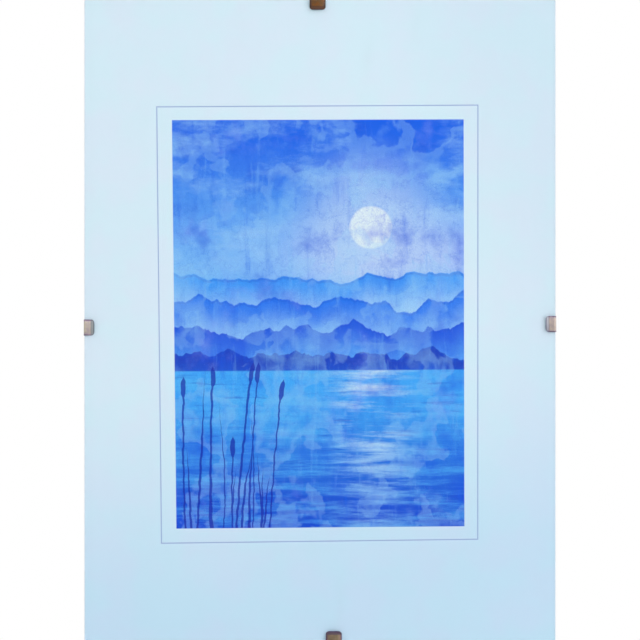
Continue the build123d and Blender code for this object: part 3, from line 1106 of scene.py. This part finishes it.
def strip_mesh(corners, sizes):
    """A bent strip's plain mesh on the bench, along X and deep along Y."""
    common = {"Edge Radius": STRIP_EDGE, "Step": STRIP_STEP}
    untapered = {"End Width": sizes["Width"], "Taper Length": STRIP_STEP}
    return run_tree(strip_tree, path_host(corners), {**common, **untapered, **sizes})


print("arm's middle line at the tongue:", round(arm_depth_at(SLOT_INSET) / MM, 2), "mm back")

# %% The tongue and the punch for its window
root_reach = SLOT_INSET - 2 * TONGUE_BEND
tongue_corners = [
    (root_reach, arm_depth_at(root_reach), 0),
    (SLOT_INSET, arm_depth_at(SLOT_INSET), TONGUE_BEND),
    (SLOT_INSET, panel_depth - TONGUE_DEPTH, 0),
]
tongue_sizes = {
    "Width": TONGUE_WIDTH, "Thickness": CLIP_THICKNESS - TONGUE_THINNING,
    "Start Corner": 0.0, "End Corner": TONGUE_CORNER,
}
tongue = add_object("tongue", strip_mesh(tongue_corners, tongue_sizes))
window_middle = Vector((SLOT_INSET - TONGUE_BEND + WINDOW_LENGTH / 2, panel_depth + ARM_RISE, 0))
window_sides = (WINDOW_LENGTH, 2 * ARM_RISE, TONGUE_WIDTH + 2 * LANCE_GAP)
window = box_punch("window", window_middle, window_sides)
print("tongue:", len(tongue.data.polygons), "faces")

# %% One clip on the bench
corners = clip_corners()
arm_corner, seat_corner, tail = (Vector(corner[:2]) for corner in corners[-3:])
clip_sizes = {
    "Width": CLIP_WIDTH, "Thickness": CLIP_THICKNESS,
    "Start Corner": TAB_CORNER, "End Corner": TAIL_CORNER, "End Width": TAIL_WIDTH,
    "Taper Length": (tail - seat_corner).length + (seat_corner - arm_corner).length,
    "Punch": window, "Weld": tongue,
}
clip_mesh = strip_mesh(corners, clip_sizes)
for tool in (window, tongue):
    bpy.data.objects.remove(tool)
print("clip on the bench:", len(clip_mesh.polygons), "faces")

# %% [markdown]
# Spring steel is hardened and tempered, which leaves it straw, bronze or brown by how hot it got,
# and purple where the thin rim got hottest. Here the tints also carry painted light: the hook's two
# tints, mottled by a cloud, are partly painted reflection, and the darker purple rim is partly
# painted shade along the strip's outline. Along the strip run the fine lines of the rolls. The
# flared lip is painted greyer, a painted reflection of its tilted face, the crease behind it is a
# dark line of painted shade, the very tip is painted dark as shade at its edge, and there are small
# scratches from handling. The tints are those of the hook in front, and round the panel's edge they
# give way to the plainer bronze that all four arms have.
# The lines of the rolls turn with the strip, and a pattern laid out in space would cut straight
# through its bends. So this one follows the flat blank, which the strip carries as the map named
# blank.

# %% Where the tints of spring steel lie
LIP_LENGTH = 2.3 * MM
CREASE_HALF = 0.3 * MM
RIM_WIDTH = 0.8 * MM
HALO_WIDTH = 1.9 * MM
HOOK_LENGTH = 8.0 * MM
HOOK_FADE = 5.0 * MM
CLOUD_SHIFT = 1.2 * MM
# Tints of the arms: darker, lighter, near the rim, rim (the rim partly painted shade)
ARM_TINTS = ((139, 130, 118), (156, 147, 134), (142, 131, 120), (108, 96, 94))
BARE_METAL = {"Metallic": 1.0}
print("lip of", LIP_LENGTH / MM, "mm, rim of", RIM_WIDTH / MM, "mm")


# %% Tempered steel
def spring_steel(name, batch, shade, sheen, lip, tip, halo, rim):
    """Bronze-tinted strip steel, with tints of its own at lip, tip and rim; its tints are partly painted
    reflection and shade. The batch varies it.
    """
    steel, wires, surface = new_material(name)
    blank = wires.out("ShaderNodeUVMap", uv_map="blank")
    along, across, _ = wires.parts(blank)
    blank = wires.vector("ADD", blank, (0.0, 0.0, batch))
    rolled = wires.noise(wires.joined(wires.times(along, 0.05), across, batch), 6000.0, 4.0, 0.7)
    cloud = wires.noise(blank, 380.0, 4.0, 0.6)
    rearward = wires.step(along, HOOK_LENGTH, HOOK_LENGTH + HOOK_FADE)
    shade, sheen, halo, rim = (
        wires.blend(rearward, paint(*front), paint(*rear))
        for front, rear in zip((shade, sheen, halo, rim), ARM_TINTS)
    )
    # The two tints mottled by a cloud: partly temper colour, partly painted reflection of what the hook
    # mirrors
    tone = wires.blend(wires.step(cloud, 0.32, 0.68), shade, sheen)
    tone = wires.stain(tone, sheen, rolled, 0.4, 0.7, 0.4)
    tone = wires.stain(tone, shade, rolled, 0.5, 0.3, 0.4)
    uneven = wires.times(wires.less(cloud, 0.5), CLOUD_SHIFT)
    from_side = wires.less(CLIP_WIDTH / 2, wires.maths("ABSOLUTE", across))
    from_side = wires.maths("ADD", from_side, uneven)
    tone = wires.stain(tone, halo, from_side, HALO_WIDTH, RIM_WIDTH, 0.8)
    # The lip's own tint: painted reflection of the flared face
    lip_edge = wires.maths("ADD", along, wires.times(uneven, 0.3))
    behind_lip, on_lip = LIP_LENGTH + CREASE_HALF, LIP_LENGTH - CREASE_HALF
    tone = wires.stain(tone, paint(*lip), lip_edge, behind_lip, on_lip, 0.9)
    # A dark line at the crease: painted shade in the fold
    tone = wires.stain(tone, rim, wires.apart(lip_edge, LIP_LENGTH), CREASE_HALF, 0.0, 0.6)
    # The very tip darker: painted shade at the flared tip's edge
    from_tip = wires.line(uneven, 0.4, along)
    tone = wires.stain(tone, paint(*tip), from_tip, RIM_WIDTH, RIM_WIDTH / 2, 0.9)
    # A darker purple rim along the sides: partly temper colour, partly painted shade along the outline
    heat_and_outline_shade = wires.step(wires.noise(blank, 170.0, 2.0), 0.36, 0.56, 0.4, 0.95)
    rim_share = wires.times(heat_and_outline_shade, wires.step(from_side, RIM_WIDTH, RIM_WIDTH / 2))
    tone = wires.blend(rim_share, tone, rim)
    scratch_place = wires.joined(along, wires.line(along, 0.8, across), batch)
    scratches = wires.noise(wires.stretched(scratch_place, 0.12, 1.0, 1.0), 3300.0, 2.0, 0.5)
    worn = wires.step(scratches, 0.7, 0.76, 0.0, 0.5)
    tone = wires.blend(worn, tone, paint(206, 198, 188))
    rough = wires.step(rolled, 0.3, 0.7, 0.32, 0.46)
    relief = wires.less(rolled, wires.times(worn, 0.6))
    skin = bumped_skin(wires, tone, rough, relief, strength=0.25, depth=0.01 * MM, extra=BARE_METAL)
    wires.feed(surface, skin)
    return steel


print("the hook's tints fade", round(HOOK_LENGTH / MM, 1), "mm along the strip")

# %% [markdown]
# The same clip is stood at the four edges. Each place is where the solid's box says, so the clips
# sit as far off the middle as they were slid. No two hooks are quite one colour: their tints are
# partly temper colour and partly painted reflection, dark brown at the top, olive at the foot and
# pale at the sides, as each hook mirrors what lies towards it.

# %% Which way each clip points, and its tints
clip_ways = {
    "clip_top": Vector((0, 0, -1)),
    "clip_bottom": Vector((0, 0, 1)),
    "clip_left": Vector((1, 0, 0)),
    "clip_right": Vector((-1, 0, 0)),
}
# Tints of each clip, partly painted reflection and shade: darker, lighter and lip, then tip, near the rim
# and rim
clip_temper_and_reflection_tints = {
    "clip_top": (
        (96, 82, 62), (134, 86, 48), (98, 72, 60),
        (66, 50, 54), (94, 76, 70), (56, 48, 50),
    ),
    "clip_bottom": (
        (106, 97, 76), (136, 116, 98), (106, 90, 106),
        (82, 66, 104), (118, 90, 94), (80, 70, 92),
    ),
    "clip_left": (
        (165, 151, 158), (192, 184, 164), (152, 158, 162),
        (108, 118, 128), (166, 148, 164), (92, 76, 106),
    ),
    "clip_right": (
        (174, 159, 163), (198, 184, 168), (138, 140, 149),
        (98, 102, 118), (168, 152, 164), (94, 78, 108),
    ),
}
print("tints for", ", ".join(clip_temper_and_reflection_tints))

# %% The four clips in place
BACKWARDS = Vector((0, 1, 0))


def standing_shape(mesh, origin, way, depth_way=BACKWARDS):
    """A bench piece as a bmesh at its place: its X goes along way and its Y along depth_way."""
    turn = Matrix((way, depth_way, way.cross(depth_way))).transposed().to_4x4()
    shape = bmesh.new()
    shape.from_mesh(mesh)
    bmesh.ops.transform(shape, matrix=Matrix.Translation(origin) @ turn, verts=shape.verts)
    for face in shape.faces:
        face.material_index = 0
    return shape


for batch, (node, way) in enumerate(clip_ways.items()):
    low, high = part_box(node)
    edge_place = (low + high) / 2
    edge_place.y = glass_front
    for axis in (0, 2):
        if way[axis]:
            edge_place[axis] = glass_low[axis] if way[axis] > 0 else glass_high[axis]
    steel = spring_steel(f"tempered_{node}", batch, *clip_temper_and_reflection_tints[node])
    clip_shape = standing_shape(clip_mesh, edge_place, way)
    place_piece(f"spring_{node}", clip_shape, node, node, [steel])

# %% [markdown]
# ## The hangers
# A hanger is a triangular wire ring, held by its bar in the fold of a steel strap, and a hollow
# rivet through both layers and the board. All of it is zinc plated. The strap comes out of the
# same tree as the clips. Its fold is two square corners and a slanting one, rounded until they
# meet as a round loop. A last bend makes the neck and brings the strip back level.

# %% The folded strap's path
WIRE_RADIUS = 0.9 * MM
RING_PLAY = 0.08 * MM
STRAP_THICKNESS = 0.6 * MM
STRAP_WIDTH = 8.0 * MM
STRAP_LENGTH = 13.0 * MM
STRAP_STEP = 0.8 * MM
STRAP_CORNER = 2.4 * MM
NECK_SLOPE = math.radians(50)
NECK_RADIUS = 1.0 * MM
FOLD_GAP = 0.05 * MM
RIVET_REACH = 8.4 * MM
RIVET_HOLE = 1.75 * MM
loop_radius = WIRE_RADIUS + RING_PLAY + STRAP_THICKNESS / 2
upper_depth = STRAP_THICKNESS + FOLD_GAP - loop_radius
neck_lead = loop_radius * math.tan(NECK_SLOPE / 2)
loop_end = Vector((-loop_radius * math.sin(NECK_SLOPE), loop_radius * math.cos(NECK_SLOPE)))
neck_run = (loop_end.y - upper_depth) / math.tan(NECK_SLOPE)
strap_corners = [
    (-STRAP_LENGTH, -loop_radius, 0),
    (loop_radius, -loop_radius, loop_radius),
    (loop_radius, loop_radius, loop_radius),
    (-neck_lead, loop_radius, loop_radius),
    (loop_end.x - neck_run, upper_depth, NECK_RADIUS),
    (STRAP_STEP - STRAP_LENGTH, upper_depth, 0),
]
print("the ring's bar turns in a loop of", round(2 * loop_radius / MM, 2), "mm across")

# %% The strap on the bench, with its rivet hole
PUNCH_SIDES = 48
hole_shape = bmesh.new()
bmesh.ops.create_cone(hole_shape, cap_ends=True, segments=PUNCH_SIDES, radius1=RIVET_HOLE,
                      radius2=RIVET_HOLE, depth=STRAP_LENGTH)
bmesh.ops.rotate(hole_shape, matrix=Matrix.Rotation(math.pi / 2, 3, "X"), verts=hole_shape.verts)
bmesh.ops.translate(hole_shape, vec=(-RIVET_REACH, 0, 0), verts=hole_shape.verts)
hole_punch = add_object("hole_punch", plain_mesh("hole_punch", hole_shape))
strap_sizes = {
    "Width": STRAP_WIDTH, "Thickness": STRAP_THICKNESS,
    "Start Corner": STRAP_CORNER, "End Corner": STRAP_CORNER, "Punch": hole_punch,
}
strap_mesh = strip_mesh(strap_corners, strap_sizes)
bpy.data.objects.remove(hole_punch)
print("strap on the bench:", len(strap_mesh.polygons), "faces")

# %% [markdown]
# The ring is drawn wire, bent to a triangle, its two ends butted inside the fold. Wire swept along
# a path with sharp corners would pinch there, so a second tree rounds the path first, as the
# strip's tree does, and then sweeps a round section along it.

# %% The tree that bends wire
WIRE_BEND_POINTS = 16
WIRE_SIDES = 24
wire_inputs = {"Wire Radius": "Float", "Step": "Float", "Material": "Material"}
wire_tree, wires, given, result = new_tree("bent_wire", wire_inputs)
fed = {"Resolution": WIRE_SIDES, "Radius": given["Wire Radius"]}
round_section = wires.out("GeometryNodeCurvePrimitiveCircle", fed, mode="RADIUS")
drawn = swept_bar(wires, bent_path(wires, given, WIRE_BEND_POINTS), round_section)
wires.feed(result, shaded_steel(wires, drawn, given["Material"]))
print("wire tree:", len(wire_tree.nodes), "nodes")

# %% The ring on the bench
RING_HEIGHT = 11.0 * MM
RING_HALF_ANGLE = math.radians(30)
APEX_RADIUS = 2.5 * MM
RING_CORNER = 1.8 * MM
BUTT_GAP = 0.3 * MM
WIRE_STEP = 0.2 * MM
sharp_height = RING_HEIGHT + APEX_RADIUS * (1 / math.sin(RING_HALF_ANGLE) - 1)
half_bar = sharp_height * math.tan(RING_HALF_ANGLE)
ring_corners = [
    (0, BUTT_GAP / 2, 0),
    (0, half_bar, RING_CORNER),
    (sharp_height, 0, APEX_RADIUS),
    (0, -half_bar, RING_CORNER),
    (0, -BUTT_GAP / 2, 0),
]
wire_sizes = {"Wire Radius": WIRE_RADIUS, "Step": WIRE_STEP}
ring_mesh = run_tree(wire_tree, path_host(ring_corners), wire_sizes)
print("ring on the bench:", len(ring_mesh.polygons), "faces")

# %% [markdown]
# A hollow rivet is a turned form, so a lathe makes it: a closed outline of radius and depth, spun
# about the axis. The head is rolled over the strap like a small eyelet, and the other end flares
# in the board's recess. Both rims are round, where the plain solid has straight bevels.

# %% The rivet's sizes
RIVET_BORE = 1.2 * MM
RIVET_SHANK = 1.7 * MM
HEAD_RADIUS = 2.9 * MM
HEAD_HEIGHT = 0.6 * MM
FLARE_RADIUS = 2.6 * MM
FLARE_HEIGHT = 0.5 * MM
RECESS_DEPTH = 0.7 * MM
LATHE_STEPS = 64
RIM_POINTS = 7
RIM_ROUND = 0.2 * MM
RIM_LIP_SHARE = 0.3
CROWN_TURN = 150
bar_rise = loop_radius + STRAP_THICKNESS / 2
board_thickness = board_high.y - board_low.y
print("rivet through", round((board_thickness + 2 * STRAP_THICKNESS) / MM, 2), "mm of board and strap")


# %% Rolled rims and a lathe
def arc_points(centre, across, upright, start, end):
    """Points of an elliptical arc in radius and depth, angles in degrees."""
    points = []
    for index in range(RIM_POINTS):
        angle = math.radians(start + (end - start) * index / (RIM_POINTS - 1))
        points.append((centre[0] + across * math.cos(angle), centre[1] + upright * math.sin(angle)))
    return points


def rolled_rim(seat, outer, height, side):
    """Half of a rolled rim on its seat, from the outside over the crown into the bore."""
    crown = (RIVET_BORE + outer) / 2
    lip = height * RIM_LIP_SHARE
    rise = height - lip
    outside = arc_points((outer - RIM_ROUND, seat + side * lip), RIM_ROUND, side * lip, -90, 0)
    over = arc_points((crown, seat + side * lip), outer - crown, side * rise, 0, CROWN_TURN)
    return outside[:-1] + over


def lathe_shape(outline):
    """A turned bmesh from a closed outline of radius and depth, its axis along Y."""
    shape = bmesh.new()
    rings = []
    for index in range(LATHE_STEPS):
        angle = math.tau * index / LATHE_STEPS
        ring = [(r * math.cos(angle), depth, r * math.sin(angle)) for r, depth in outline]
        rings.append([shape.verts.new(point) for point in ring])
    for index, ring in enumerate(rings):
        following = rings[(index + 1) % LATHE_STEPS]
        for point in range(len(outline)):
            beside = (point + 1) % len(outline)
            face = shape.faces.new((ring[point], ring[beside], following[beside], following[point]))
            face.smooth = True
    return shape


print("lathe of", LATHE_STEPS, "steps")

# %% The rivet on the bench
head_seat = 3 * STRAP_THICKNESS / 2 + FOLD_GAP - loop_radius
flare_seat = RECESS_DEPTH - bar_rise - board_thickness
head_rim = rolled_rim(head_seat, HEAD_RADIUS, HEAD_HEIGHT, 1)
flare_rim = rolled_rim(flare_seat, FLARE_RADIUS, FLARE_HEIGHT, -1)
rivet_outline = [
    (RIVET_SHANK, head_seat), *head_rim, (RIVET_BORE, head_seat),
    (RIVET_BORE, flare_seat), *reversed(flare_rim), (RIVET_SHANK, flare_seat),
]
rivet_mesh = plain_mesh("rivet", lathe_shape(rivet_outline))
print("rivet on the bench:", len(rivet_mesh.polygons), "faces")

# %% [markdown]
# Zinc plate is a bright, slightly bluish skin with a cloudy bloom, yellowed here and there by the
# passivation, with fine lines where the steel under it was rolled or drawn. An image of it would
# have to be wrapped round every bend. Noise fills space and needs no wrapping, and stretching it
# along one axis draws its grains out into lines.


# %% Zinc plate
def zinc_plate(name, line_stretch):
    """Bright zinc over steel, with lines that the stretch of the place draws out."""
    plate, wires, surface = new_material(name)
    place = object_place(wires)
    bloom = wires.noise(place, 300.0, 5.0, 0.62)
    tone = wires.blend(wires.step(bloom, 0.35, 0.65), paint(196, 200, 206), paint(226, 227, 226))
    warm = wires.noise(wires.vector("ADD", place, (2.0, 1.0, 4.0)), 210.0, 3.0, 0.6)
    tone = wires.stain(tone, paint(226, 212, 172), warm, 0.52, 0.72, 0.45)
    lines = wires.noise(wires.stretched(place, *line_stretch), 4200.0, 3.0, 0.6)
    tone = wires.stain(tone, paint(150, 153, 158), lines, 0.45, 0.3, 0.35)
    spots = wires.noise(place, 2400.0, 2.0, 0.5)
    tone = wires.stain(tone, paint(120, 120, 118), spots, 0.68, 0.76, 0.5)
    rough = wires.step(bloom, 0.3, 0.7, 0.24, 0.42)
    skin = bumped_skin(wires, tone, rough, lines, strength=0.3, depth=0.012 * MM, extra=BARE_METAL)
    wires.feed(surface, skin)
    return plate


strap_zinc = zinc_plate("zinc_strap", (1.0, 1.0, 0.06))
wire_zinc = zinc_plate("zinc_wire", (0.5, 1.0, 0.5))
rivet_zinc = zinc_plate("zinc_rivet", (1.0, 0.1, 1.0))
print("zinc finishes:", strap_zinc.name, wire_zinc.name, rivet_zinc.name)

# %% [markdown]
# The middle of each ring's bar is the joint that the ring swings on, so the record's joints say
# where the hangers stand. Ring, strap and rivet are all measured from there.

# %% The two hangers in place
joints = frame["record"]["behaviour"]["joints"]
joint_places = {joint["name"]: Vector(joint["pos_m"]) for joint in joints}
hanger_ways = {"top": Vector((0, 0, 1)), "side": Vector((-1, 0, 0))}
for where, way in hanger_ways.items():
    bar = joint_places[f"hanger_ring_{where}_swing"]
    sideways = BACKWARDS.cross(way)
    ring_shape = standing_shape(ring_mesh, bar, way, sideways)
    place_piece(f"wire_ring_{where}", ring_shape, f"hanger_ring_{where}", f"hanger_ring_{where}",
                [wire_zinc])
    strap_shape = standing_shape(strap_mesh, bar, way)
    place_piece(f"folded_strap_{where}", strap_shape, f"hanger_strap_{where}", "panel",
                [strap_zinc])
    rivet_shape = standing_shape(rivet_mesh, bar - way * RIVET_REACH, way)
    place_piece(f"hollow_rivet_{where}", rivet_shape, f"hanger_rivet_{where}", "panel",
                [rivet_zinc])

# %% [markdown]
# ## Measuring
# The dressed model's box is measured and printed.

# %% Measure the dressed model's box
low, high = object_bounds()
print("visual box in mm:", [round(1000 * side, 2) for side in high - low])
